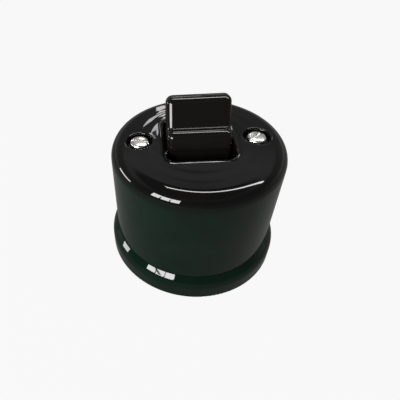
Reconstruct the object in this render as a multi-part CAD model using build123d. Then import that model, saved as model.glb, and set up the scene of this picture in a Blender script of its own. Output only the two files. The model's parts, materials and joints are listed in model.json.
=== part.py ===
from build123d import *
import os
from math import cos, radians, sin

# Surface-mounted porcelain tumbler switch, in millimetres.
# The back face lies on the wall at z = 0 and +Z points into the room.
# The key's axle runs along X. At rest the key leans towards +Y.

# Cover
cover_radius = 32.5
cover_wall = 4.0
cover_roof = 4.5
cover_foot_radius = 0.35
crown_height = 52.75
crown_rise = 1.1
shoulder_radius = 5.6
ceiling_corner_radius = 2.5

# Base
base_height = 10.5
ledge_width = 2.6
ledge_drop = 2.8
ledge_edge_radius = 5.0
base_back_radius = 0.6
base_floor = 4.0
back_relief = 1.0
foot_ring_width = 4.8
spigot_height = 3.0
spigot_wall = 2.8
spigot_clearance = 0.3
spigot_edge_radius = 0.5

# Fixing to the wall and cable entry
wall_hole_radius = 2.25
wall_hole_pitch = 41.0
cable_hole_radius = 4.5
cable_hole_x = 14.2
cable_hole_y = 15.0

# Key
key_width = 23.2
key_tilt = 16.0
pivot_depth = 9.0
block_depth_bottom = 18.0
block_depth_top = 17.4
block_drop = 3.0
shoulder_height = 12.1
valley_height = 13.1
paddle_root_depth = 10.5
paddle_tip_depth = 6.0
paddle_height = 23.5
shoulder_edge_radius = 2.6
valley_radius = 0.8
tip_edge_radius = 2.6
key_end_radius = 2.5
key_edge_margin = 0.1
hub_radius = 3.2
hub_gap = 0.2
skirt_depth = 29.0
skirt_thickness = 2.5
stem_radius = 4.5
stem_reach = 14.0
spring_bore_reach = 3.6

# Key opening in the cover
key_side_clearance = 0.75
key_swing_clearance = 1.05
opening_corner_radius = 3.4
opening_rim_radius = 0.7

# Axle
axle_radius = 1.5
axle_clearance = 0.04

# Plunger and its spring
plunger_radius = 2.1
plunger_clearance = 0.05
plunger_reach = 17.0
plunger_length = 6.5
plunger_nose_radius = 0.9
plunger_nose_length = 2.0
spring_wire_radius = 0.25
spring_turns = 5
spring_wall_gap = 0.1
spring_end_gap = 0.05

# Rocking contact bridge
bridge_angle = 8.0
bridge_width = 5.0
bridge_half_length = 12.2
bridge_thickness = 0.8
plunger_gap = 0.2
fulcrum_gap = 0.15
contact_reach = 10.2
contact_gap = 0.15
moving_pad_radius = 1.8
moving_pad_height = 1.0
fixed_pad_radius = 2.0
fixed_pad_height = 1.2

# Terminals
terminal_thickness = 1.2
terminal_end_margin = 3.2
terminal_tongue_half = 2.6
terminal_gap = 0.6
fulcrum_width = 4.4
fulcrum_thickness = 1.2

# Moulded mechanism frame
deck_height = 11.0
core_half_width = 9.0
cheek_thickness = 3.0
cheek_gap = 1.0
cheek_half_depth = 10.2
ear_radius = 3.3
stop_thickness = 2.2
stop_height = 4.0
stop_clearance = 0.3
frame_corner_radius = 1.0

# Cover screws and pillars
cover_screw_pitch = 43.0
screw_head_radius = 3.5
screw_head_height = 2.4
screw_head_round = 1.1
screw_shank_radius = 1.95
screw_hole_clearance = 0.35
screw_seat_depth = 2.6
screw_length = 12.0
left_slot_turn = -12.0
right_slot_turn = 40.0
recess_radius = 4.9
recess_rim_radius = 0.6
recess_land = 0.5
slot_width = 1.0
slot_depth = 1.2
pillar_radius = 3.5
pillar_pocket_clearance = 0.3
pillar_top_gap = 0.1
thread_clearance = 0.05
thread_run_out = 1.5

# Countersunk screws from the back
pillar_screw_length = 11.0
frame_screw_radius = 1.45
frame_screw_length = 11.0
frame_screw_x = 11.5
countersink_ratio = 1.85
countersink_clearance = 0.15
back_hole_clearance = 0.2
head_sink = 0.2

# Wire clamp screws
clamp_head_radius = 3.0
clamp_head_height = 2.2
clamp_head_round = 0.6
clamp_shank_radius = 1.7
clamp_shank_length = 7.0
clamp_hole_clearance = 0.15

# How near an edge has to lie to the place where it is looked for
match = 0.01

# Levels and reaches that follow from the sizes above
cover_inner_radius = cover_radius - cover_wall
base_radius = cover_radius + ledge_width
ceiling = crown_height - cover_roof
floor_level = back_relief + base_floor
spigot_radius = cover_inner_radius - spigot_clearance
cavity_radius = spigot_radius - spigot_wall
pivot_level = crown_height - pivot_depth
tilt_cos = cos(radians(key_tilt))
tilt_sin = sin(radians(key_tilt))
shoulder_reach = block_depth_top / 2 * tilt_cos + shoulder_height * tilt_sin
opening_width = key_width + 2 * key_side_clearance
opening_depth = 2 * (shoulder_reach + key_swing_clearance)
bridge_top = pivot_level - plunger_reach - plunger_gap
fulcrum_level = bridge_top - bridge_thickness - fulcrum_gap
closed_level = fulcrum_level + fulcrum_gap * cos(radians(bridge_angle))
fixed_pad_top = closed_level - moving_pad_height - contact_gap
pedestal_level = fixed_pad_top - fixed_pad_height - terminal_thickness
deck_level = floor_level + deck_height
cheek_inner = key_width / 2 + cheek_gap
cheek_outer = cheek_inner + cheek_thickness
stop_inner = stem_radius * tilt_cos + stem_reach * tilt_sin + stop_clearance
stop_outer = stop_inner + stop_thickness
stop_bottom = pivot_level - stem_reach * tilt_cos + stem_radius * tilt_sin - stop_clearance
stop_top = stop_bottom + stop_height
terminal_outer = contact_reach + fixed_pad_radius + terminal_end_margin
terminal_inner = contact_reach - fixed_pad_radius - clamp_hole_clearance
clamp_x = core_half_width - clamp_head_radius - clamp_hole_clearance
clamp_y = terminal_outer - clamp_head_radius - clamp_hole_clearance
screw_seat_level = crown_height - screw_seat_depth
cover_screw_x = cover_screw_pitch / 2

# The cover's roundings end before the screw recesses and clear the pillars
shoulder_room = cover_radius - cover_screw_x - recess_radius - recess_land
shoulder_rounding = min(shoulder_radius, shoulder_room)
ceiling_room = cover_inner_radius - cover_screw_x - pillar_radius
ceiling_rounding = min(ceiling_corner_radius, ceiling_room)

# The key's end rounding stays tighter than the edges that it runs along
sharpest_key_edge = min(shoulder_edge_radius, tip_edge_radius)
key_end_rounding = min(key_end_radius, sharpest_key_edge - key_edge_margin)


def round_corner(face, x, y, radius):
    """Round the corner of a flat face that lies nearest to a point."""
    return fillet(face.vertices().sort_by_distance((x, y, 0))[0], radius)


def upright(radius, bottom, top, x=0.0, y=0.0):
    """A cylinder along Z between two levels."""
    height = top - bottom
    return Pos(x, y, bottom + height / 2) * Cylinder(radius, height)


def block(x_range, y_range, z_range):
    """A box between two limits on each axis."""
    size = [high - low for low, high in (x_range, y_range, z_range)]
    middle = [(low + high) / 2 for low, high in (x_range, y_range, z_range)]
    return Pos(*middle) * Box(*size)


def tilted(shape):
    """Carry a piece drawn upright about the axle to its place at rest."""
    return Pos(0, 0, pivot_level) * Rot(-key_tilt, 0, 0) * shape


def rocked(shape):
    """Carry a piece drawn level about the fulcrum to its place at rest."""
    return Pos(0, 0, fulcrum_level) * Rot(bridge_angle, 0, 0) * shape


def make_base():
    top = base_height + spigot_height
    foot_inner = base_radius - foot_ring_width
    ledge_bottom = base_height - ledge_drop
    outline = Polyline(
        (0, back_relief),
        (foot_inner, back_relief),
        (foot_inner, 0),
        (base_radius, 0),
        (base_radius, ledge_bottom),
        (cover_radius, base_height),
        (spigot_radius, base_height),
        (spigot_radius, top),
        (cavity_radius, top),
        (cavity_radius, floor_level),
        (0, floor_level),
        close=True,
    )
    section = make_face(outline)
    section = round_corner(section, base_radius, ledge_bottom, ledge_edge_radius)
    section = round_corner(section, base_radius, 0, base_back_radius)
    section = round_corner(section, spigot_radius, top, spigot_edge_radius)
    section = round_corner(section, cavity_radius, top, spigot_edge_radius)
    base = revolve(Plane.XZ * section, Axis.Z)
    for side in (-1, 1):
        pocket = pillar_radius + pillar_pocket_clearance
        base -= upright(pocket, floor_level, top, side * cover_screw_x)
        base -= upright(wall_hole_radius, 0, floor_level, 0, side * wall_hole_pitch / 2)
        base -= upright(cable_hole_radius, 0, floor_level, side * cable_hole_x, side * cable_hole_y)
        base -= countersunk_hole(screw_shank_radius, side * cover_screw_x)
        base -= countersunk_hole(frame_screw_radius, side * frame_screw_x)
    return base


def make_cover():
    edge_level = crown_height - crown_rise
    outline = [
        Line((cover_inner_radius, base_height), (cover_radius, base_height)),
        Line((cover_radius, base_height), (cover_radius, edge_level)),
        TangentArc((0, crown_height), (cover_radius, edge_level), tangent=(1, 0)),
        Line((0, crown_height), (0, ceiling)),
        Line((0, ceiling), (cover_inner_radius, ceiling)),
        Line((cover_inner_radius, ceiling), (cover_inner_radius, base_height)),
    ]
    section = make_face(outline)
    section = round_corner(section, cover_radius, edge_level, shoulder_rounding)
    section = round_corner(section, cover_radius, base_height, cover_foot_radius)
    section = round_corner(section, cover_inner_radius, ceiling, ceiling_rounding)
    cover = revolve(Plane.XZ * section, Axis.Z)
    window = RectangleRounded(opening_width, opening_depth, opening_corner_radius)
    cover -= extrude(Pos(0, 0, ceiling - cover_roof) * window, 3 * cover_roof)
    rim = cover.edges().filter_by(on_opening_rim)
    cover = fillet(rim, opening_rim_radius)
    hole_radius = screw_shank_radius + screw_hole_clearance
    for side in (-1, 1):
        x = side * cover_screw_x
        cover -= upright(hole_radius, ceiling - cover_roof, crown_height, x)
        cover -= upright(recess_radius, screw_seat_level, crown_height + cover_roof, x)
    recess_rims = cover.edges().filter_by(on_recess_rim)
    return fillet(recess_rims, recess_rim_radius)


def on_opening_rim(edge):
    """True for the upper edges of the key opening."""
    middle = edge.center()
    within_width = abs(middle.X) < opening_width / 2 + match
    within_depth = abs(middle.Y) < opening_depth / 2 + match
    on_top = edge.bounding_box().min.Z > (ceiling + crown_height) / 2
    return within_width and within_depth and on_top


def on_recess_rim(edge):
    """True for the upper edge of a screw recess."""
    box = edge.bounding_box()
    full_width = abs(box.size.X - 2 * recess_radius) < match
    on_top = box.min.Z > (screw_seat_level + crown_height) / 2
    return full_width and on_top


def make_key():
    half_bottom = block_depth_bottom / 2
    half_top = block_depth_top / 2
    half_root = paddle_root_depth / 2
    half_tip = paddle_tip_depth / 2
    near_side = [
        (half_bottom, -block_drop),
        (half_top, shoulder_height),
        (half_root, valley_height),
        (half_tip, paddle_height),
    ]
    far_side = [(-y, z) for y, z in reversed(near_side)]
    section = make_face(Polyline(*near_side, *far_side, close=True))
    for side in (-1, 1):
        section = round_corner(section, side * half_top, shoulder_height, shoulder_edge_radius)
        section = round_corner(section, side * half_root, valley_height, valley_radius)
        section = round_corner(section, side * half_tip, paddle_height, tip_edge_radius)
    half_width = key_width / 2
    key = extrude(Plane.YZ * section, half_width, both=True)
    end_edges = key.edges().filter_by(on_key_end)
    key = fillet(end_edges, key_end_rounding)
    skirt_half = skirt_depth / 2
    skirt_levels = (-block_drop, skirt_thickness - block_drop)
    key += block((-half_width, half_width), (-skirt_half, skirt_half), skirt_levels)
    hub_half = cheek_inner - hub_gap
    key += Rot(0, 90, 0) * Cylinder(hub_radius, 2 * hub_half)
    key += upright(stem_radius, -stem_reach, 0)
    key -= Rot(0, 90, 0) * Cylinder(axle_radius + axle_clearance, 2 * cheek_outer)
    key -= upright(plunger_radius + plunger_clearance, -stem_reach, -spring_bore_reach)
    return tilted(key)


def on_key_end(edge):
    """True for the edges round the two end faces, above the open underside."""
    box = edge.bounding_box()
    flat = box.size.X < match
    at_end = abs(abs(edge.center().X) - key_width / 2) < match
    above_underside = box.max.Z > match - block_drop
    return flat and at_end and above_underside


def make_axle():
    return Pos(0, 0, pivot_level) * Rot(0, 90, 0) * Cylinder(axle_radius, 2 * cheek_outer)


def make_plunger():
    shoulder = plunger_length - plunger_reach
    body = upright(plunger_radius, plunger_radius - plunger_reach, shoulder)
    body += Pos(0, 0, plunger_radius - plunger_reach) * Sphere(plunger_radius)
    body += upright(plunger_nose_radius, shoulder, shoulder + plunger_nose_length)
    return tilted(body)


def make_spring():
    low = plunger_length - plunger_reach + spring_wire_radius + spring_end_gap
    high = -spring_bore_reach - spring_wire_radius - spring_end_gap
    coil_radius = plunger_radius - spring_wire_radius - spring_wall_gap
    path = Helix((high - low) / spring_turns, high - low, coil_radius)
    section = Plane(path @ 0, z_dir=path % 0) * Circle(spring_wire_radius)
    coil = sweep(section, path=path, is_frenet=True)
    return tilted(Pos(0, 0, low) * coil)


def make_bridge():
    underside = fulcrum_gap
    rise = bridge_half_length * sin(radians(bridge_angle)) / cos(radians(bridge_angle))
    lift = bridge_thickness
    outline = Polyline(
        (0, underside),
        (bridge_half_length, underside + rise),
        (bridge_half_length, underside + rise + lift),
        (0, underside + lift),
        (-bridge_half_length, underside + rise + lift),
        (-bridge_half_length, underside + rise),
        close=True,
    )
    return rocked(extrude(Plane.YZ * make_face(outline), bridge_width / 2, both=True))


def make_moving_contact(side):
    """A pad brazed under one arm of the bridge."""
    reach = contact_reach / cos(radians(bridge_angle))
    pad = Pos(0, side * reach, -moving_pad_height / 2) * Cylinder(moving_pad_radius, moving_pad_height)
    return rocked(Pos(0, 0, fulcrum_gap) * Rot(side * bridge_angle, 0, 0) * pad)


def half_turn(shape):
    """The same piece on the other side of the switch."""
    return Rot(0, 0, 180) * shape


def front_terminal_plate():
    x_range = (-terminal_tongue_half, core_half_width)
    y_range = (-terminal_outer, -terminal_inner)
    plate = block(x_range, y_range, (pedestal_level, pedestal_level + terminal_thickness))
    hole = clamp_shank_radius + thread_clearance
    return plate - upright(hole, pedestal_level, pedestal_level + terminal_thickness, clamp_x, -clamp_y)


def front_fixed_contact():
    return upright(fixed_pad_radius, fixed_pad_top - fixed_pad_height, fixed_pad_top, 0, -contact_reach)


def make_common_terminal():
    z_range = (deck_level, deck_level + terminal_thickness)
    inner_edge = -terminal_tongue_half - terminal_gap
    plate = block((-core_half_width, inner_edge), (-terminal_outer, fulcrum_width / 2), z_range)
    plate += block((inner_edge, fulcrum_width / 2), (-fulcrum_width / 2, fulcrum_width / 2), z_range)
    lug_radius = fulcrum_thickness / 2
    lug_top = fulcrum_level - lug_radius
    half_width = fulcrum_width / 2
    lug = block((-half_width, half_width), (-lug_radius, lug_radius), (deck_level, lug_top))
    lug += Pos(0, 0, lug_top) * Rot(0, 90, 0) * Cylinder(lug_radius, fulcrum_width)
    hole = clamp_shank_radius + thread_clearance
    return plate + lug - upright(hole, *z_range, -clamp_x, -clamp_y)


def driver_slot(head_radius, top):
    """The straight slot across the top of a screw head."""
    half_slot = slot_width / 2
    return block((-head_radius, head_radius), (-half_slot, half_slot), (top - slot_depth, top))


def clamp_screw(seat):
    """A slotted clamp screw drawn on the Z axis, with its head on a seat level."""
    top = seat + clamp_head_height
    head = upright(clamp_head_radius, seat, top)
    head = fillet(head.edges().group_by(Axis.Z)[-1], clamp_head_round)
    head -= driver_slot(clamp_head_radius, top)
    return head + upright(clamp_shank_radius, seat - clamp_shank_length, seat)


def cover_screw(slot_turn):
    """A slotted pan-head screw drawn on the Z axis, with its head on the recess floor."""
    top = screw_seat_level + screw_head_height
    head = upright(screw_head_radius, screw_seat_level, top)
    head = fillet(head.edges().group_by(Axis.Z)[-1], screw_head_round)
    head -= Rot(0, 0, slot_turn) * driver_slot(screw_head_radius, top)
    return head + upright(screw_shank_radius, screw_seat_level - screw_length, screw_seat_level)


def countersunk_form(shank_radius, head_radius, tip_level, head_level):
    """A shank with a conical head that widens towards the back face."""
    neck_level = head_level + head_radius - shank_radius
    section = Polyline(
        (0, head_level),
        (head_radius, head_level),
        (shank_radius, neck_level),
        (shank_radius, tip_level),
        (0, tip_level),
        close=True,
    )
    return revolve(Plane.XZ * make_face(section), Axis.Z)


def countersunk_screw(shank_radius, length, x):
    head_level = back_relief + head_sink
    head_radius = countersink_ratio * shank_radius
    screw = countersunk_form(shank_radius, head_radius, head_level + length, head_level)
    slot_top = head_level + head_sink + slot_depth / 2
    slot_range = (-slot_width / 2, slot_width / 2)
    slot = block((-head_radius, head_radius), slot_range, (head_level, slot_top))
    return Pos(x, 0, 0) * (screw - slot)


def countersunk_hole(shank_radius, x):
    """The hole in the base for a countersunk screw, open at the back."""
    head_radius = countersink_ratio * shank_radius + countersink_clearance + head_sink
    hole_radius = shank_radius + back_hole_clearance
    return Pos(x, 0, 0) * countersunk_form(hole_radius, head_radius, floor_level, back_relief)


def make_pillar(x):
    top = ceiling - pillar_top_gap
    bore = screw_shank_radius + thread_clearance
    lower_bore_top = back_relief + head_sink + pillar_screw_length + thread_run_out
    upper_bore_bottom = screw_seat_level - screw_length - thread_run_out
    pillar = upright(pillar_radius, floor_level, top, x)
    pillar -= upright(bore, floor_level, lower_bore_top, x)
    return pillar - upright(bore, upper_bore_bottom, top, x)


def make_frame():
    depth = terminal_outer
    frame = block((-core_half_width, core_half_width), (-depth, depth), (floor_level, deck_level))
    cheek_y = (-cheek_half_depth, cheek_half_depth)
    frame += block((-cheek_outer, cheek_outer), cheek_y, (floor_level, deck_level))
    pedestal = block(
        (-terminal_tongue_half, core_half_width),
        (-terminal_outer, -terminal_inner),
        (deck_level, pedestal_level),
    )
    frame += pedestal + half_turn(pedestal)
    lower_height = stop_top - floor_level
    lower = Pos(0, floor_level + lower_height / 2) * Rectangle(2 * stop_outer, lower_height)
    ear = Pos(0, pivot_level) * Circle(ear_radius)
    cheek = Plane.YZ * make_hull(lower.edges() + ear.edges())
    cheek_plate = extrude(cheek, cheek_thickness / 2, both=True)
    cheek_middle = (cheek_inner + cheek_outer) / 2
    for side in (-1, 1):
        frame += Pos(side * cheek_middle, 0, 0) * cheek_plate
        stop_y = sorted((side * stop_inner, side * stop_outer))
        frame += block((-cheek_inner, cheek_inner), stop_y, (stop_bottom, stop_top))
    frame = fillet(frame.edges().filter_by(on_frame_corner), frame_corner_radius)
    axle_bore = Cylinder(axle_radius + axle_clearance, 3 * cheek_outer)
    frame -= Pos(0, 0, pivot_level) * Rot(0, 90, 0) * axle_bore
    clamp_hole = clamp_shank_radius + clamp_hole_clearance
    clamp_bottom = clamp_shank_length + thread_run_out
    for x, y, seat in clamp_places():
        frame -= upright(clamp_hole, seat - clamp_bottom, seat, x, y)
    screw_bore = frame_screw_radius + thread_clearance
    screw_bore_top = back_relief + head_sink + frame_screw_length + thread_run_out
    for side in (-1, 1):
        frame -= upright(screw_bore, floor_level, screw_bore_top, side * frame_screw_x)
    return frame


def on_frame_corner(edge):
    """True for the upright outer corners of the frame's core."""
    middle = edge.center()
    upright_edge = edge.bounding_box().size.Z > deck_height / 2
    at_end = abs(abs(middle.Y) - terminal_outer) < match
    return upright_edge and at_end


def clamp_places():
    """Each clamp screw's x, y and seat level: common, front and back."""
    raised = pedestal_level + terminal_thickness
    return [
        (-clamp_x, -clamp_y, deck_level + terminal_thickness),
        (clamp_x, -clamp_y, raised),
        (-clamp_x, clamp_y, raised),
    ]


def make_nodes():
    nodes = {
        "porcelain_base": make_base(),
        "porcelain_cover": make_cover(),
        "toggle_key": make_key(),
        "key_axle": make_axle(),
        "plunger": make_plunger(),
        "plunger_spring": make_spring(),
        "contact_bridge": make_bridge(),
        "moving_contact_front": make_moving_contact(-1),
        "moving_contact_back": make_moving_contact(1),
        "mechanism_frame": make_frame(),
        "common_terminal": make_common_terminal(),
        "front_terminal": front_terminal_plate(),
        "back_terminal": half_turn(front_terminal_plate()),
        "fixed_contact_front": front_fixed_contact(),
        "fixed_contact_back": half_turn(front_fixed_contact()),
    }
    for name, (x, y, seat) in zip(("common", "front", "back"), clamp_places()):
        nodes[f"clamp_screw_{name}"] = Pos(x, y, 0) * clamp_screw(seat)
    for name, side, slot_turn in (("left", -1, left_slot_turn), ("right", 1, right_slot_turn)):
        x = side * cover_screw_x
        nodes[f"cover_screw_{name}"] = Pos(x, 0, 0) * cover_screw(slot_turn)
        nodes[f"cover_pillar_{name}"] = make_pillar(x)
        nodes[f"pillar_screw_{name}"] = countersunk_screw(screw_shank_radius, pillar_screw_length, x)
        frame_x = side * frame_screw_x
        nodes[f"frame_screw_{name}"] = countersunk_screw(frame_screw_radius, frame_screw_length, frame_x)
    return nodes


os.makedirs("parts", exist_ok=True)
for node_name, solid in make_nodes().items():
    export_step(solid, f"parts/{node_name}.step")
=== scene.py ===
# %% [markdown]
# A black-glazed porcelain wall switch
#
# The switch is a round base ring, a domed cover held by two screws, and a toggle key that rocks a
# sprung contact inside. Its solids come from CAD at their real size, in metres, with the back face
# on z = 0 and the key's axle along X. In this lesson they get their finish: glaze, bare porcelain,
# plated steel, brass, silver and moulded resin. The screws are modelled again with their threads,
# and the plunger's spring is modelled again as a mesh that can be squashed.

# %% Load the frame
import json
from math import atan2, cos, pi, radians, sin, tau

import bmesh
import bpy
from mathutils import Matrix, Vector


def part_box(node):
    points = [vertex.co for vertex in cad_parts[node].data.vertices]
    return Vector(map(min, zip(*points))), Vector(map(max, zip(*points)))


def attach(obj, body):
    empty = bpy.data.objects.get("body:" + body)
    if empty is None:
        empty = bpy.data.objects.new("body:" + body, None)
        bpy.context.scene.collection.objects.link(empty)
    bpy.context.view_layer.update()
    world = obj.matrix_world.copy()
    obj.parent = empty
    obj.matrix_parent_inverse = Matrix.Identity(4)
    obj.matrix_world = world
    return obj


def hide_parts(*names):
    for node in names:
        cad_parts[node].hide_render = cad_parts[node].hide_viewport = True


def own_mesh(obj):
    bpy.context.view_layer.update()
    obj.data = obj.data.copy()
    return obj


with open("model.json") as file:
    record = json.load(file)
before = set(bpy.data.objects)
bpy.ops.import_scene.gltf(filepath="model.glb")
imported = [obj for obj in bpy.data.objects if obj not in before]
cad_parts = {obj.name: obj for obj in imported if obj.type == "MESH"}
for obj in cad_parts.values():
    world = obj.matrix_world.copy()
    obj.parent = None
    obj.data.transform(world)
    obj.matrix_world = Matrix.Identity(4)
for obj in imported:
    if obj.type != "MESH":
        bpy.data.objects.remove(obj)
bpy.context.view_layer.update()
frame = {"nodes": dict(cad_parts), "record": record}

# Lengths of the switch are in millimetres, times this value. The room and its lamps are in metres.
MM = 0.001

# %% [markdown]
# The camera
#
# The switch is seen from in front and half above, from so near that the top looks wider than the foot.
# A camera can be aimed by a constraint or turned about three axes. Turning is chosen here, because the
# slight roll of a hand-held picture is then one named angle. The shift sets the switch off the middle
# of the lens, as a cropped picture does, without turning the camera away from it.

# %% Camera
picture_pixels = 400
focal_pixels = 367.1
sensor_width = 36.0
camera_place = Vector((-19.43, -112.24, 132.56)) * MM
camera_azimuth = radians(3.73)
camera_elevation = radians(44.64)
camera_roll = radians(-4.59)
camera_shift = 0.175

camera_data = bpy.data.cameras.new("camera")
camera_data.sensor_width = sensor_width
camera_data.lens = focal_pixels / picture_pixels * sensor_width
camera_data.shift_x = camera_shift
camera_data.clip_start = 1 * MM
camera = bpy.data.objects.new("camera", camera_data)
swing = Matrix.Rotation(camera_azimuth, 4, "Z")
tip = Matrix.Rotation(pi / 2 - camera_elevation, 4, "X")
roll = Matrix.Rotation(camera_roll, 4, "Z")
camera.matrix_world = Matrix.Translation(camera_place) @ swing @ tip @ roll
bpy.context.scene.collection.objects.link(camera)
bpy.context.scene.camera = camera
print("lens", round(camera_data.lens, 2), "mm")

# %% [markdown]
# Colours and nodes
#
# A colour is written as a web hex value, which holds display values, while shaders work in linear
# light. One function turns the one into the other. A second one adds a shader node with its settings
# and links, so that a material reads as a list of what its surface is made of.

# %% Helpers for colours and nodes
# A Mix node for colours has its two colours in sockets 6 and 7, and its result in output 2
first_colour, second_colour, mixed_colour = 6, 7, 2


def colour(hex_value):
    """A linear RGBA colour from an sRGB hex value."""
    parts = [int(hex_value[start:start + 2], 16) / 255 for start in (1, 3, 5)]
    linear = [part / 12.92 if part <= 0.04045 else ((part + 0.055) / 1.055) ** 2.4 for part in parts]
    return (*linear, 1.0)


def add_node(tree, kind, inputs=None, **settings):
    """Add a node, set its properties, and set or link its inputs. A node that is given as an input is
    linked by its first output."""
    node = tree.nodes.new(kind)
    for name, value in settings.items():
        setattr(node, name, value)
    for name, value in (inputs or {}).items():
        if isinstance(value, bpy.types.Node):
            value = value.outputs[0]
        if isinstance(value, bpy.types.NodeSocket):
            tree.links.new(value, node.inputs[name])
        else:
            node.inputs[name].default_value = value
    return node


def new_material(name):
    """An empty node material and its tree."""
    material = bpy.data.materials.new(name)
    material.use_nodes = True
    material.node_tree.nodes.clear()
    return material, material.node_tree


print("mid grey is", round(colour("#808080")[0], 3), "in linear light")

# %% [markdown]
# Floor
#
# The switch lies on paper that looks white. Lamps strong enough to make it white would also wash out the
# black glaze. So the paper is a matt grey that keeps the shadow, and over it lies a white glow. The eye
# sees nearly all of the glow, mirrors and glass see a little of it, and it lights nothing else. The paper
# lies a hair below the back face, because two faces in one plane would show through each other.

# %% Floor
paper_half = 1.5
paper_drop = 0.05
paper_grey = "#62625f"
glow_white = colour("#ffffff")
glow_for_eye = 0.93
glow_for_gloss = 0.08


def glow_share(tree):
    """How much of the white glow a ray sees."""
    path = add_node(tree, "ShaderNodeLightPath")
    mirrored = add_node(tree, "ShaderNodeMath", {
        0: path.outputs["Is Glossy Ray"], 1: path.outputs["Is Transmission Ray"]}, operation="MAXIMUM")
    eye = add_node(tree, "ShaderNodeMath", {
        0: path.outputs["Is Camera Ray"], 1: glow_for_eye}, operation="MULTIPLY")
    return add_node(tree, "ShaderNodeMath", {
        0: mirrored, 1: glow_for_gloss, 2: eye}, operation="MULTIPLY_ADD")


def pale_paper():
    material, tree = new_material("pale_paper")
    matt = add_node(tree, "ShaderNodeBsdfDiffuse", {"Color": colour(paper_grey)})
    glow = add_node(tree, "ShaderNodeEmission", {"Color": glow_white, "Strength": 1.0})
    mixed = add_node(tree, "ShaderNodeMixShader", {0: glow_share(tree), 1: matt, 2: glow})
    add_node(tree, "ShaderNodeOutputMaterial", {"Surface": mixed})
    return material


def make_floor():
    mesh = bpy.data.meshes.new("floor")
    corners = [(x * paper_half, y * paper_half, 0) for x, y in ((-1, -1), (1, -1), (1, 1), (-1, 1))]
    mesh.from_pydata(corners, [], [(0, 1, 2, 3)])
    mesh.materials.append(pale_paper())
    floor = bpy.data.objects.new("floor", mesh)
    floor.location.z = -paper_drop * MM
    bpy.context.scene.collection.objects.link(floor)


make_floor()
print("paper", 2 * paper_half, "m wide")

# %% [markdown]
# World
#
# A black glaze has hardly a look of its own: it shows the room. A picture of a studio could be wrapped
# round the switch, but a few greys by elevation do as well, and each can be tuned by itself. The studio
# is dim, and dimmer in front than behind. It is pale at the foot of its walls and in one band high up, and
# darker between them. The band draws the top of the switch, and the dark ceiling above it keeps the
# rounded shoulder black. Past the edge of the paper the eye sees the same white glow as on it.

# %% World
# Elevation in degrees and grey
studio_greys = [(0, "#949492"), (6, "#949492"), (14, "#5c5c5c"), (33, "#5c5c5c"),
                (40, "#9a9a9a"), (47, "#9a9a9a"), (54, "#0c0c0c")]
# Strength of the room in front of the switch, against 1 behind it. The strength changes over directions
# whose Y is within the reach of 0.
front_dimness = 0.2
dimming_reach = 0.3


def make_world():
    world = bpy.data.worlds.new("dim_studio")
    world.use_nodes = True
    tree = world.node_tree
    tree.nodes.clear()
    place = add_node(tree, "ShaderNodeTexCoord")
    split = add_node(tree, "ShaderNodeSeparateXYZ", {0: place.outputs["Generated"]})
    ramp = add_node(tree, "ShaderNodeValToRGB", {0: split.outputs["Z"]})
    # A new ramp has two stops: one goes, and the other takes the first grey
    stops = ramp.color_ramp.elements
    stops.remove(stops[0])
    for number, (elevation, grey) in enumerate(studio_greys):
        level = sin(radians(elevation))
        stop = stops[0] if number == 0 else stops.new(level)
        stop.position = level
        stop.color = colour(grey)
    dimmer = add_node(tree, "ShaderNodeMapRange", {
        "Value": split.outputs["Y"], "From Min": -dimming_reach, "From Max": dimming_reach,
        "To Min": front_dimness, "To Max": 1.0})
    room = add_node(tree, "ShaderNodeBackground", {"Color": ramp, "Strength": dimmer})
    backdrop = add_node(tree, "ShaderNodeBackground", {"Color": glow_white, "Strength": 1.0})
    seen = add_node(tree, "ShaderNodeMixShader", {0: glow_share(tree), 1: room, 2: backdrop})
    add_node(tree, "ShaderNodeOutputWorld", {"Surface": seen})
    bpy.context.scene.world = world


bpy.context.scene.view_settings.view_transform = "Standard"
make_world()
print("studio greys:", len(studio_greys))

# %% [markdown]
# The overhead tube
#
# A long tube hangs overhead and runs off to the right, and draws a thin arc along the shoulder. A glossy
# black piece is lit by what it mirrors, so a lamp is given here by its brightness, which is what the glaze
# shows. The power that Blender asks for follows from the brightness and the area.

# %% Overhead tube
tube_ends = Vector((-0.10, 0.15, 0.55)), Vector((0.66, 0.03, 0.55))
tube_width = 0.06
tube_brightness = 20


def add_lamp(name, place, axes, width, height, brightness):
    """A rectangular lamp: axes is the turn that carries its face, -Z, to where it shines."""
    data = bpy.data.lights.new(name, "AREA")
    data.shape = "RECTANGLE"
    data.size = width
    data.size_y = height
    data.energy = pi * brightness * width * height
    lamp = bpy.data.objects.new(name, data)
    lamp.matrix_world = Matrix.Translation(place) @ axes.to_4x4()
    bpy.context.scene.collection.objects.link(lamp)


tube_run = tube_ends[1] - tube_ends[0]
tube_middle = (tube_ends[0] + tube_ends[1]) / 2
tube_turn = Matrix.Rotation(atan2(tube_run.y, tube_run.x), 3, "Z")
add_lamp("overhead_tube", tube_middle, tube_turn, tube_run.length, tube_width, tube_brightness)
print("tube", round(tube_run.length, 2), "m long")

# %% [markdown]
# Windows
#
# A low window with panes stands at the front left, and shows as a row of white patches on the shoulder
# and on the foot. A dimmer one far to the left edges the side, and two bars at the back streak the top.
# One large lamp with a frame before it would do for the window too, but single panes need no mesh.

# %% Windows
switch_middle = Vector((0, 0, 40 * MM))
window_distance = 0.6
pane_brightness = 22
pane_size = (0.106, 0.098)
pane_places = [(azimuth, elevation) for azimuth in (-53, -41, -29) for elevation in (17, 27)]
# Other lamps by name: azimuth, elevation, width, height and brightness
other_lamps = {
    "side_window": (-100, 8, 0.24, 0.06, 14),
    "back_bar_low": (176, 27, 0.10, 0.04, 6),
    "back_bar_high": (178, 33, 0.08, 0.04, 6),
}


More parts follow.
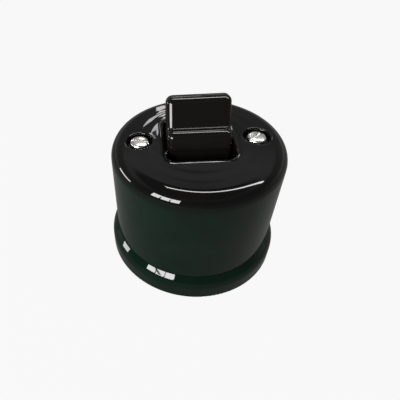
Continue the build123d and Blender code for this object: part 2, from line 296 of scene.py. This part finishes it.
def add_window(name, azimuth, elevation, width, height, brightness):
    """A lamp that faces the switch from an azimuth, counted from the front, and an elevation in degrees."""
    turn, rise = radians(azimuth), radians(elevation)
    away = Vector((sin(turn) * cos(rise), -cos(turn) * cos(rise), sin(rise)))
    facing = (-away).to_track_quat("-Z", "Y").to_matrix()
    add_lamp(name, switch_middle + away * window_distance, facing, width, height, brightness)


for number, (azimuth, elevation) in enumerate(pane_places):
    add_window(f"window_pane_{number}", azimuth, elevation, *pane_size, pane_brightness)
for name, place_and_size in other_lamps.items():
    add_window(name, *place_and_size)
print("lamps:", len(bpy.data.lights))

# %% [markdown]
# Black-glazed porcelain
#
# The cover, base and key are porcelain, dipped in a black iron glaze and fired. The glaze is wiped off
# inside and where a piece stands in the kiln, and there the bare, chalk-white body shows. The mask could
# be painted, but the pieces are round, so zones told by radius and height say where the body is bare.

# %% Where a piece is bare
# Zones as inner radius, outer radius, bottom and top in millimetres
cover_bare = [(19, 29.5, 0, 49.5), (0, 32.2, 10, 10.6)]
base_bare = [(0, 36, -1, 0.25), (0, 30.6, -1, 1.2), (0, 32.2, 4.5, 14)]
key_bare = [(0, 12, 25, 36.5)]


def bare_mask(tree, radius, height, zones):
    """1 within any of the zones, else 0."""
    mask = 0.0
    for inner, outer, bottom, top in zones:
        across = add_node(tree, "ShaderNodeMath", {
            0: radius, 1: (inner + outer) / 2 * MM, 2: (outer - inner) / 2 * MM}, operation="COMPARE")
        along = add_node(tree, "ShaderNodeMath", {
            0: height, 1: (bottom + top) / 2 * MM, 2: (top - bottom) / 2 * MM}, operation="COMPARE")
        both = add_node(tree, "ShaderNodeMath", {0: across, 1: along}, operation="MULTIPLY")
        mask = add_node(tree, "ShaderNodeMath", {0: mask, 1: both}, operation="MAXIMUM")
    return mask


print("bare zones:", len(cover_bare) + len(base_bare) + len(key_bare))

# %% [markdown]
# Tones of the glaze
#
# Iron gathers unevenly in the melt, so the black has soft clouds. The green-black of the walls is painted
# reflection: it stands for dark green surroundings mirrored in them. The top is nearly neutral, and the key
# is painted a little browner and paler, for the room that its faces mirror. A noise as wide as such a cloud
# mixes two tones for each, and the height says which pair is taken. The bare body, which potters call
# biscuit, has a fine grain of two off-whites.

# %% Tones of the glaze
cloud_width = 8.0
biscuit_grain = 0.4
wall_end = 44.0
top_start = 50.0
# The walls' green-black pair is painted reflection of dark green surroundings, clouded at random
wall_painted_reflection_tones = "#020f09", "#061e15"
top_tones = "#070707", "#0c0a09"
# The key's pair is paler and browner than the top's: painted reflection of the room its faces mirror
key_painted_reflection_tones = "#0c0b0a", "#120f0d"
biscuit_tones = "#ddd6ca", "#efeae1"


def glaze_tone(tree, place, height, bare, tones):
    """Glaze with two tones for its top, over a bare body."""
    cloud = add_node(tree, "ShaderNodeTexNoise", {
        "Vector": place, "Scale": 1 / (cloud_width * MM), "Detail": 3.0})
    # Painted reflection: the green of the walls stands for dark green surroundings that they mirror
    painted_wall_reflection = add_node(tree, "ShaderNodeMix", {
        "Factor": cloud, first_colour: colour(wall_painted_reflection_tones[0]), second_colour: colour(wall_painted_reflection_tones[1])},
        data_type="RGBA")
    top = add_node(tree, "ShaderNodeMix", {
        "Factor": cloud, first_colour: colour(tones[0]), second_colour: colour(tones[1])},
        data_type="RGBA")
    rise = add_node(tree, "ShaderNodeMapRange", {
        "Value": height, "From Min": wall_end * MM, "From Max": top_start * MM},
        interpolation_type="SMOOTHSTEP")
    glaze = add_node(tree, "ShaderNodeMix", {
        "Factor": rise, first_colour: painted_wall_reflection.outputs[mixed_colour],
        second_colour: top.outputs[mixed_colour]}, data_type="RGBA")
    grain = add_node(tree, "ShaderNodeTexNoise", {
        "Vector": place, "Scale": 1 / (biscuit_grain * MM), "Detail": 2.0})
    body = add_node(tree, "ShaderNodeMix", {
        "Factor": grain, first_colour: colour(biscuit_tones[0]), second_colour: colour(biscuit_tones[1])},
        data_type="RGBA")
    tone = add_node(tree, "ShaderNodeMix", {
        "Factor": bare, first_colour: glaze.outputs[mixed_colour],
        second_colour: body.outputs[mixed_colour]}, data_type="RGBA")
    return tone.outputs[mixed_colour]


print("clouds", cloud_width, "mm wide")

# %% [markdown]
# Relief of the cover's top
#
# The glaze draws up into a low bead where it ends at an opening, and the wheel on which the cover was
# shaped leaves faint rings on its top. Both are too low to model, and a bump map shows them well: it
# tilts the reflections and leaves the outline alone. The bead follows the distance from the opening's
# rounded square, which is the length of what sticks out of an inner square, less the corner radius.

# %% Relief of the cover's top
opening_half = Vector((24.7, 25.5, 0)) / 2
opening_corner = 3.4
bead_offset = 1.2
bead_half_width = 0.7
bead_height = 0.14
recess_bead_height = 0.05
recess_x = 21.5
recess_edge = 5.5
ring_spacing = 5.5
ring_height = 0.04
ring_reach = 25.0
ring_fade = 3.0


def bead_round(tree, distance, offset, height):
    """A low bead, in millimetres, on the line where a distance in metres reaches an offset in millimetres."""
    from_line = add_node(tree, "ShaderNodeMath", {0: distance, 1: offset * MM}, operation="SUBTRACT")
    nearness = add_node(tree, "ShaderNodeMath", {0: from_line}, operation="ABSOLUTE")
    return add_node(tree, "ShaderNodeMapRange", {
        "Value": nearness, "From Min": 0.0, "From Max": bead_half_width * MM,
        "To Min": height, "To Max": 0.0}, interpolation_type="SMOOTHSTEP")


def cover_relief(tree, place, radius):
    """Beads round the opening and the screw recesses, and wheel rings, in millimetres."""
    flat = add_node(tree, "ShaderNodeVectorMath", {0: place, 1: (1, 1, 0)}, operation="MULTIPLY")
    quarter = add_node(tree, "ShaderNodeVectorMath", {0: flat}, operation="ABSOLUTE")
    inner = (opening_half - Vector((opening_corner, opening_corner, 0))) * MM
    beyond = add_node(tree, "ShaderNodeVectorMath", {0: quarter, 1: inner}, operation="SUBTRACT")
    outside = add_node(tree, "ShaderNodeVectorMath", {0: beyond, 1: (0, 0, 0)}, operation="MAXIMUM")
    reach = add_node(tree, "ShaderNodeVectorMath", {0: outside}, operation="LENGTH")
    opening = bead_round(tree, reach.outputs["Value"], opening_corner + bead_offset, bead_height)
    from_recess = add_node(tree, "ShaderNodeVectorMath", {
        0: quarter, 1: (recess_x * MM, 0, 0)}, operation="DISTANCE")
    recess = bead_round(tree, from_recess.outputs["Value"], recess_edge, recess_bead_height)
    beads = add_node(tree, "ShaderNodeMath", {0: opening, 1: recess}, operation="ADD")
    turn = add_node(tree, "ShaderNodeMath", {0: radius, 1: tau / (ring_spacing * MM)}, operation="MULTIPLY")
    ring = add_node(tree, "ShaderNodeMath", {0: turn}, operation="SINE")
    fade = add_node(tree, "ShaderNodeMapRange", {
        "Value": radius, "From Min": ring_reach * MM, "From Max": (ring_reach - ring_fade) * MM,
        "To Min": 0.0, "To Max": ring_height})
    return add_node(tree, "ShaderNodeMath", {0: ring, 1: fade, 2: beads}, operation="MULTIPLY_ADD")


print("opening", [round(2 * half, 1) for half in opening_half.xy], "mm")

# %% [markdown]
# Relief of the glaze
#
# The glaze flowed in the kiln, so it is a mirror with slow waves, a fine orange peel and the odd pit of a
# burst bubble. The three heights are added up in millimetres, and go to one bump node together with
# the relief of the cover.

# %% Relief of the glaze
flow_width = 13.0
flow_height = 0.06
peel_width = 1.6
peel_height = 0.001
pit_spacing = 7.0
pit_radius = 0.25
pit_depth = 0.03


def glaze_relief(tree, place):
    """Waves, orange peel and pits, in millimetres."""
    flow = add_node(tree, "ShaderNodeTexNoise", {
        "Vector": place, "Scale": 1 / (flow_width * MM), "Detail": 1.0})
    peel = add_node(tree, "ShaderNodeTexNoise", {
        "Vector": place, "Scale": 1 / (peel_width * MM), "Detail": 1.0})
    fine = add_node(tree, "ShaderNodeMath", {0: peel, 1: peel_height}, operation="MULTIPLY")
    waves = add_node(tree, "ShaderNodeMath", {0: flow, 1: flow_height, 2: fine}, operation="MULTIPLY_ADD")
    spots = add_node(tree, "ShaderNodeTexVoronoi", {"Vector": place, "Scale": 1 / (pit_spacing * MM)})
    pits = add_node(tree, "ShaderNodeMapRange", {
        "Value": spots, "From Min": 0.0, "From Max": pit_radius / pit_spacing,
        "To Min": -pit_depth, "To Max": 0.0}, interpolation_type="SMOOTHSTEP")
    return add_node(tree, "ShaderNodeMath", {0: waves, 1: pits}, operation="ADD")


print("pits", 2 * pit_radius, "mm across")

# %% [markdown]
# The glaze put together
#
# Each of the three pieces gets a material that holds both the glass and the bare body, and its mask says
# which is seen. Glaze is as smooth as window glass and refracts like it. Its mirror is set a little weaker
# than glass, because it shows a pale floor that the black walls would otherwise take their colour from.

# %% Glazed porcelain
glaze_roughness = 0.035
biscuit_roughness = 0.85
glaze_ior = 1.5
glaze_mirror = 0.4


def glazed_porcelain(name, bare_zones, tones, relief=None):
    """Black iron glaze over porcelain, bare in the given zones, with two tones for the top."""
    material, tree = new_material(name)
    place = add_node(tree, "ShaderNodeTexCoord").outputs["Object"]
    height = add_node(tree, "ShaderNodeSeparateXYZ", {0: place}).outputs["Z"]
    flat = add_node(tree, "ShaderNodeVectorMath", {0: place, 1: (1, 1, 0)}, operation="MULTIPLY")
    radius = add_node(tree, "ShaderNodeVectorMath", {0: flat}, operation="LENGTH").outputs["Value"]
    bare = bare_mask(tree, radius, height, bare_zones)
    gloss = add_node(tree, "ShaderNodeMapRange", {
        "Value": bare, "To Min": glaze_roughness, "To Max": biscuit_roughness})
    heights = glaze_relief(tree, place)
    if relief:
        heights = add_node(tree, "ShaderNodeMath", {
            0: heights, 1: relief(tree, place, radius)}, operation="ADD")
    bump = add_node(tree, "ShaderNodeBump", {"Height": heights, "Strength": 1.0, "Distance": MM})
    shader = add_node(tree, "ShaderNodeBsdfPrincipled", {
        "Base Color": glaze_tone(tree, place, height, bare, tones), "Roughness": gloss,
        "IOR": glaze_ior, "Specular IOR Level": glaze_mirror, "Normal": bump})
    add_node(tree, "ShaderNodeOutputMaterial", {"Surface": shader})
    return material


glazes = {
    "porcelain_cover": glazed_porcelain("glazed_cover", cover_bare, top_tones, cover_relief),
    "porcelain_base": glazed_porcelain("glazed_base", base_bare, top_tones),
    "toggle_key": glazed_porcelain("glazed_key", key_bare, key_painted_reflection_tones),
}
for node, glaze in glazes.items():
    frame["nodes"][node].material_slots[0].material = glaze
print("glazed:", list(glazes))

# %% [markdown]
# Brass
#
# The pillars, terminals and the rocking bridge are brass, turned on a lathe or stamped from strip. Bare
# brass indoors keeps a warm yellow shine under brown tarnish clouds, and the cut leaves fine lines. The
# lines of a real cut are a few hundredths of a millimetre apart. They are drawn coarser here, to show.

# %% Brass
bright_brass = "#d1ab58"
tarnished_brass = "#8f6d30"
tarnish_width = 2.5
tarnish_start, tarnish_full = 0.45, 0.75
bright_roughness, tarnish_roughness = 0.24, 0.46
cut_spacing = 0.25
cut_depth = 0.01
cut_stretch = 0.05


def cut_brass():
    material, tree = new_material("cut_brass")
    place = add_node(tree, "ShaderNodeTexCoord").outputs["Object"]
    cloud = add_node(tree, "ShaderNodeTexNoise", {
        "Vector": place, "Scale": 1 / (tarnish_width * MM), "Detail": 4.0})
    dulled = add_node(tree, "ShaderNodeMapRange", {
        "Value": cloud, "From Min": tarnish_start, "From Max": tarnish_full})
    tone = add_node(tree, "ShaderNodeMix", {
        "Factor": dulled, first_colour: colour(bright_brass), second_colour: colour(tarnished_brass)},
        data_type="RGBA")
    gloss = add_node(tree, "ShaderNodeMapRange", {
        "Value": dulled, "To Min": bright_roughness, "To Max": tarnish_roughness})
    stretched = add_node(tree, "ShaderNodeVectorMath", {
        0: place, 1: (cut_stretch, 1, 1)}, operation="MULTIPLY")
    lines = add_node(tree, "ShaderNodeTexNoise", {
        "Vector": stretched, "Scale": 1 / (cut_spacing * MM), "Detail": 2.0})
    bump = add_node(tree, "ShaderNodeBump", {"Height": lines, "Strength": 0.4, "Distance": cut_depth * MM})
    shader = add_node(tree, "ShaderNodeBsdfPrincipled", {
        "Base Color": tone.outputs[mixed_colour], "Metallic": 1.0, "Roughness": gloss, "Normal": bump})
    add_node(tree, "ShaderNodeOutputMaterial", {"Surface": shader})
    return material


def finish_nodes(slot, material):
    """Give a material to all nodes of a material slot of the record, and return their names."""
    subparts = frame["record"]["subparts"]
    nodes = [subpart["node"] for subpart in subparts if subpart["material_slot"] == slot]
    for node in nodes:
        frame["nodes"][node].material_slots[0].material = material
    return nodes


print("brass:", finish_nodes("brass", cut_brass()))

# %% [markdown]
# Fine silver
#
# The contact pads are riveted buttons of fine silver, struck in a die. Silver is the palest metal, and it
# goes brown in patches where air and sparks reach it. A noise as wide as such a patch mixes the
# two tones, and the same noise dulls the shine, because tarnish is a rough skin.

# %% Silver
bright_silver = "#dedbd4"
sparked_silver = "#8c7f6c"
spark_patch = 0.9
spark_depth = 0.02
spark_start, spark_full = 0.5, 0.72
silver_roughness, sparked_roughness = 0.22, 0.5


def struck_silver():
    material, tree = new_material("struck_silver")
    place = add_node(tree, "ShaderNodeTexCoord").outputs["Object"]
    cloud = add_node(tree, "ShaderNodeTexNoise", {
        "Vector": place, "Scale": 1 / (spark_patch * MM), "Detail": 4.0})
    dulled = add_node(tree, "ShaderNodeMapRange", {
        "Value": cloud, "From Min": spark_start, "From Max": spark_full})
    tone = add_node(tree, "ShaderNodeMix", {
        "Factor": dulled, first_colour: colour(bright_silver), second_colour: colour(sparked_silver)},
        data_type="RGBA")
    gloss = add_node(tree, "ShaderNodeMapRange", {
        "Value": dulled, "To Min": silver_roughness, "To Max": sparked_roughness})
    bump = add_node(tree, "ShaderNodeBump", {
        "Height": cloud, "Strength": 0.5, "Distance": spark_depth * MM})
    shader = add_node(tree, "ShaderNodeBsdfPrincipled", {
        "Base Color": tone.outputs[mixed_colour], "Metallic": 1.0, "Roughness": gloss, "Normal": bump})
    add_node(tree, "ShaderNodeOutputMaterial", {"Surface": shader})
    return material


print("silver:", finish_nodes("silver", struck_silver()))

# %% [markdown]
# Moulded phenolic
#
# The frame that carries the contacts and the plunger are phenolic resin, filled with wood flour and
# pressed in a hot steel mould. That gives a brown-black satin with paler flecks of the filler. A flake of
# flour is a few tenths of a millimetre long, so a noise of that size, cut off high, leaves single flecks.

# %% Phenolic
resin_brown = "#1a1310"
flour_brown = "#3a2a22"
phenolic_ior = 1.6
fleck_width = 0.35
fleck_start, fleck_full = 0.58, 0.70
press_wave_width = 3.0
press_wave_depth = 0.03
press_smooth, press_dull = 0.30, 0.48


def moulded_phenolic():
    material, tree = new_material("moulded_phenolic")
    place = add_node(tree, "ShaderNodeTexCoord").outputs["Object"]
    flour = add_node(tree, "ShaderNodeTexNoise", {
        "Vector": place, "Scale": 1 / (fleck_width * MM), "Detail": 2.0})
    fleck = add_node(tree, "ShaderNodeMapRange", {
        "Value": flour, "From Min": fleck_start, "From Max": fleck_full})
    tone = add_node(tree, "ShaderNodeMix", {
        "Factor": fleck, first_colour: colour(resin_brown), second_colour: colour(flour_brown)},
        data_type="RGBA")
    wave = add_node(tree, "ShaderNodeTexNoise", {
        "Vector": place, "Scale": 1 / (press_wave_width * MM), "Detail": 1.0})
    gloss = add_node(tree, "ShaderNodeMapRange", {
        "Value": wave, "To Min": press_smooth, "To Max": press_dull})
    bump = add_node(tree, "ShaderNodeBump", {
        "Height": wave, "Strength": 0.5, "Distance": press_wave_depth * MM})
    shader = add_node(tree, "ShaderNodeBsdfPrincipled", {
        "Base Color": tone.outputs[mixed_colour], "Roughness": gloss, "IOR": phenolic_ior, "Normal": bump})
    add_node(tree, "ShaderNodeOutputMaterial", {"Surface": shader})
    return material


print("phenolic:", finish_nodes("phenolic", moulded_phenolic()))

# %% [markdown]
# Drawn spring steel
#
# The axle and the plunger's spring are steel wire, pulled through a die. The die leaves fine lines along
# the wire and a grey, half-bright skin. On the axle the lines run along X. On the spring, whose wire
# turns, they are too fine to follow, so both share one stretched noise, drawn coarser than real lines.
# The screws have this slot in the record too, and get their plating further on.

# %% Spring steel
wire_grey = "#7d7e82"
wire_shine = "#a3a4a8"
wire_smooth, wire_dull = 0.25, 0.42
draw_line = 0.12
draw_depth = 0.01
draw_stretch = 0.04


def drawn_spring_steel():
    material, tree = new_material("drawn_spring_steel")
    place = add_node(tree, "ShaderNodeTexCoord").outputs["Object"]
    stretched = add_node(tree, "ShaderNodeVectorMath", {
        0: place, 1: (draw_stretch, 1, 1)}, operation="MULTIPLY")
    lines = add_node(tree, "ShaderNodeTexNoise", {
        "Vector": stretched, "Scale": 1 / (draw_line * MM), "Detail": 2.0})
    tone = add_node(tree, "ShaderNodeMix", {
        "Factor": lines, first_colour: colour(wire_grey), second_colour: colour(wire_shine)},
        data_type="RGBA")
    gloss = add_node(tree, "ShaderNodeMapRange", {
        "Value": lines, "To Min": wire_smooth, "To Max": wire_dull})
    bump = add_node(tree, "ShaderNodeBump", {"Height": lines, "Strength": 0.4, "Distance": draw_depth * MM})
    shader = add_node(tree, "ShaderNodeBsdfPrincipled", {
        "Base Color": tone.outputs[mixed_colour], "Metallic": 1.0, "Roughness": gloss, "Normal": bump})
    add_node(tree, "ShaderNodeOutputMaterial", {"Surface": shader})
    return material


spring_steel = drawn_spring_steel()
print("steel:", finish_nodes("steel", spring_steel))

# %% [markdown]
# The form of the spring
#
# In the stem of the key a coil spring pushes the plunger onto the rocking contact, and it gets shorter when
# the plunger is pushed in. A curve with a round bevel would draw it, but a piece is squashed along with a
# joint only once its mesh is final. So circles are set along a helix and joined, ring to ring. The same
# joining makes the screws.

# %% Spring mesh
coil_radius = 1.75
wire_radius = 0.25
coil_turns = 5
coil_ends = -10.2, -3.9
steps_per_turn = 36
wire_sides = 12


def mesh_of_rings(name, points, around):
    """A closed mesh of points that lie ring after ring, with this many points around each ring."""
    faces = [tuple(range(around)), tuple(reversed(range(len(points) - around, len(points))))]
    for first in range(0, len(points) - around, around):
        for step in range(around):
            beside = (step + 1) % around
            faces.append((first + step, first + around + step, first + around + beside, first + beside))
    mesh = bpy.data.meshes.new(name)
    mesh.from_pydata(points, [], faces)
    mesh.shade_smooth()
    return mesh


def coil_points():
    """Rings of the wire along the helix, on the Z axis, with the key's axle at the origin."""
    low, high = coil_ends
    points = []
    for step in range(coil_turns * steps_per_turn + 1):
        angle = tau * step / steps_per_turn
        level = low + (high - low) * step / (coil_turns * steps_per_turn)
        outward = Vector((cos(angle), sin(angle), 0))
        for side in range(wire_sides):
            turn = tau * side / wire_sides
            reach = coil_radius + wire_radius * cos(turn)
            points.append((outward * reach + Vector((0, 0, level + wire_radius * sin(turn)))) * MM)
    return points


# %% [markdown]
# The spring in its place
#
# The spring stands in the key's stem, along the line on which the plunger slides, and tilts with the key.
# Its upper end rests on the key and stays, and its lower end goes with the plunger. So it rides the key.

# %% Spring
joints = {joint["name"]: joint for joint in frame["record"]["behaviour"]["joints"]}
axle = Vector(joints["key_tilt"]["pos_m"])
stem = Vector(joints["plunger_slide"]["axis"])

spring = bpy.data.objects.new("coil_spring", mesh_of_rings("coil_spring", coil_points(), wire_sides))
spring.data.materials.append(spring_steel)
spring.matrix_world = Matrix.Translation(axle) @ Matrix.Rotation(-atan2(stem.y, stem.z), 4, "X")
bpy.context.scene.collection.objects.link(spring)
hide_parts("plunger_spring")
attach(spring, "key")
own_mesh(spring)

# %% [markdown]
# Nickel-plated screws
#
# The screws are steel, turned, rolled with a thread and plated with nickel, a bright white with a trace of
# warmth. On a new head the plating shows the rings of the turning tool and small handling marks. The
# tool's rings are about 0.05 mm apart, and are drawn at 0.35 mm here, so that they show.

# %% Nickel plating
clean_nickel = "#f2f1ee"
worn_nickel = "#d2d1ce"
wear_start, wear_full = 0.42, 0.72
clean_roughness, worn_roughness = 0.26, 0.42
tool_ring = 0.35
tool_ring_share = 0.1
handling_mark = 1.3
mark_depth = 0.012


def nickel_plated_steel():
    material, tree = new_material("nickel_plated_steel")
    place = add_node(tree, "ShaderNodeTexCoord").outputs["Object"]
    flat = add_node(tree, "ShaderNodeVectorMath", {0: place, 1: (1, 1, 0)}, operation="MULTIPLY")
    radius = add_node(tree, "ShaderNodeVectorMath", {0: flat}, operation="LENGTH").outputs["Value"]
    turn = add_node(tree, "ShaderNodeMath", {0: radius, 1: tau / (tool_ring * MM)}, operation="MULTIPLY")
    ring = add_node(tree, "ShaderNodeMath", {0: turn}, operation="SINE")
    marks = add_node(tree, "ShaderNodeTexNoise", {
        "Vector": place, "Scale": 1 / (handling_mark * MM), "Detail": 3.0})
    worn = add_node(tree, "ShaderNodeMapRange", {
        "Value": marks, "From Min": wear_start, "From Max": wear_full})
    tone = add_node(tree, "ShaderNodeMix", {
        "Factor": worn, first_colour: colour(clean_nickel), second_colour: colour(worn_nickel)},
        data_type="RGBA")
    gloss = add_node(tree, "ShaderNodeMapRange", {
        "Value": worn, "To Min": clean_roughness, "To Max": worn_roughness})
    relief = add_node(tree, "ShaderNodeMath", {
        0: ring, 1: tool_ring_share, 2: marks}, operation="MULTIPLY_ADD")
    bump = add_node(tree, "ShaderNodeBump", {
        "Height": relief, "Strength": 0.6, "Distance": mark_depth * MM})
    shader = add_node(tree, "ShaderNodeBsdfPrincipled", {
        "Base Color": tone.outputs[mixed_colour], "Metallic": 1.0, "Roughness": gloss, "Normal": bump})
    add_node(tree, "ShaderNodeOutputMaterial", {"Surface": shader})
    return material


nickel = nickel_plated_steel()
print("plating:", nickel.name)

# %% [markdown]
# Screw heads
#
# The cover and clamp screws have pan heads, turned with a low crown and a rounded rim. The screws in the
# back are countersunk, so that the base lies flat on the wall. A head could be a flattened ball, but an
# outline of radius and level, to be spun round, holds its curve in one number.

# %% Screw heads
# The crown starts a little off the axis, where a small flat closes it
crown_steps = 10
crown_start = radians(82)
crown_power = 2.6


def pan_head(radius, height, crown):
    """Outline of a pan head from its low crown to its seat, as (radius, level) in millimetres. The crown
    is a quarter of a superellipse: flatter on top and rounder at the rim than an ellipse."""
    outline = []
    for step in range(crown_steps + 1):
        angle = crown_start * (1 - step / crown_steps)
        across = cos(angle) ** (2 / crown_power)
        up = sin(angle) ** (2 / crown_power)
        outline.append((radius * across, crown * (up - 1)))
    return outline + [(radius, -height)]


def countersunk_head(radius, shank_radius):
    """Outline of a flat 90 degree head."""
    return [(radius, 0.0), (shank_radius, shank_radius - radius)]


print("points of a pan head:", crown_steps + 2)

# %% [markdown]
# Screw threads
#
# A screw is a lathe form with a helix on it. It could be a cylinder with a Screw modifier, but a mesh of
# rings is simpler: each ring has a radius at every step round, and in the thread that radius rises and
# falls once in a pitch, a little later at each step. The head's top is at the origin, with the shank down.

# %% Screw threads
steps_round = 40
rows_per_turn = 8
thread_pitch = 0.7
thread_depth = 0.38
plain_neck = 0.4
thread_fade = 0.8
tip_chamfer = 0.5


def thread_ring(shank_radius, level, fade):
    """One ring of the thread: the groove's depth follows the turn."""
    ring = []
    for step in range(steps_round):
        groove = abs(2 * ((level / thread_pitch + step / steps_round) % 1) - 1)
        ring.append((shank_radius - thread_depth * fade * groove, level))
    return ring


def screw_mesh(name, head, shank_radius, tip):
    """A closed mesh of the head's outline, a plain neck, the thread and a bevelled tip at a level."""
    head_end = head[-1][1]
    rings = [[point] * steps_round for point in head + [(shank_radius, head_end)]]
    thread_end = tip + tip_chamfer
    rows = round((head_end - thread_end) / thread_pitch * rows_per_turn)
    for row in range(1, rows + 1):
        level = head_end + (thread_end - head_end) * row / rows
        fade = min(1.0, max(0.0, (head_end - level - plain_neck) / thread_fade))
        rings.append(thread_ring(shank_radius, level, fade))
    rings.append([(shank_radius - tip_chamfer - thread_depth / 2, tip)] * steps_round)

    points = []
    for ring in rings:
        for step, (radius, level) in enumerate(ring):
            angle = tau * step / steps_round
            points.append(Vector((radius * cos(angle), radius * sin(angle), level)) * MM)
    return mesh_of_rings(name, points, steps_round)


print("thread:", thread_pitch, "mm pitch")

# %% [markdown]
# Driver slots
#
# The slot is a saw cut across the head. It could be drawn into the rings, but a cut is truer to how it is
# made: a Boolean takes a box out of the head, and its result is kept as the mesh.

# %% Driver slots
slot_width = 1.0
pan_slot_depth = 1.2
flat_slot_depth = 0.8
# How much longer than the head the saw is
saw_overrun = 1.2


def saw_slot(screw, head_radius, depth, turn):
    """Cut a slot of a depth across the top of the head."""
    form = bmesh.new()
    size = Vector((2 * saw_overrun * head_radius, slot_width, 2 * depth)) * MM
    bmesh.ops.create_cube(form, matrix=Matrix.Rotation(radians(turn), 4, "Z") @ Matrix.Diagonal((*size, 1)))
    blade_mesh = bpy.data.meshes.new("saw")
    form.to_mesh(blade_mesh)
    form.free()
    blade = bpy.data.objects.new("saw", blade_mesh)
    bpy.context.scene.collection.objects.link(blade)
    cut = screw.modifiers.new("slot", "BOOLEAN")
    cut.object = blade
    cut.operation = "DIFFERENCE"
    cut.solver = "EXACT"
    cut_screw = screw.evaluated_get(bpy.context.evaluated_depsgraph_get())
    screw.data = bpy.data.meshes.new_from_object(cut_screw)
    screw.modifiers.clear()
    bpy.data.objects.remove(blade)


print("slots", slot_width, "mm wide")

# %% [markdown]
# The screws in their places
#
# Each screw takes its place, length and head from the box of its CAD node. The edges of the cut stay sharp
# and the round parts smooth. The two cover screws stopped at the turn where they were tight, so their
# slots point different ways. The screws in the back are turned over.

# %% Screws
crease_angle = radians(35)
# Turns in degrees
cover_slot_turns = {"cover_screw_left": -12, "cover_screw_right": 40}
cover_head = {"height": 2.4, "crown": 1.4}
clamp_head = {"height": 2.2, "crown": 0.8}
# Radii of the shanks
m4_shank, clamp_shank, m3_shank = 1.95, 1.7, 1.45


def add_screw(node, shank_radius, head=None, turn=0):
    """A threaded screw in the place of a CAD node: with a pan head if its sizes are given, and else
    countersunk from below."""
    lowest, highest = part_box(node)
    middle = (lowest + highest) / 2
    length = (highest.z - lowest.z) / MM
    head_radius = (highest.x - lowest.x) / 2 / MM
    if head:
        outline = pan_head(head_radius, **head)
        place = Matrix.Translation((middle.x, middle.y, highest.z))
    else:
        outline = countersunk_head(head_radius, shank_radius)
        place = Matrix.Translation((middle.x, middle.y, lowest.z)) @ Matrix.Rotation(pi, 4, "X")
    screw = bpy.data.objects.new(f"plated_{node}", screw_mesh(node, outline, shank_radius, -length))
    bpy.context.scene.collection.objects.link(screw)
    saw_slot(screw, head_radius, pan_slot_depth if head else flat_slot_depth, turn)
    screw.data.materials.clear()
    screw.data.materials.append(nickel)
    screw.data.shade_smooth()
    screw.data.set_sharp_from_angle(angle=crease_angle)
    screw.matrix_world = place
    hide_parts(node)
    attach(screw, "housing")


for node, turn in cover_slot_turns.items():
    add_screw(node, m4_shank, cover_head, turn)
for name in ("common", "front", "back"):
    add_screw(f"clamp_screw_{name}", clamp_shank, clamp_head)
for side in ("left", "right"):
    add_screw(f"pillar_screw_{side}", m4_shank)
    add_screw(f"frame_screw_{side}", m3_shank)
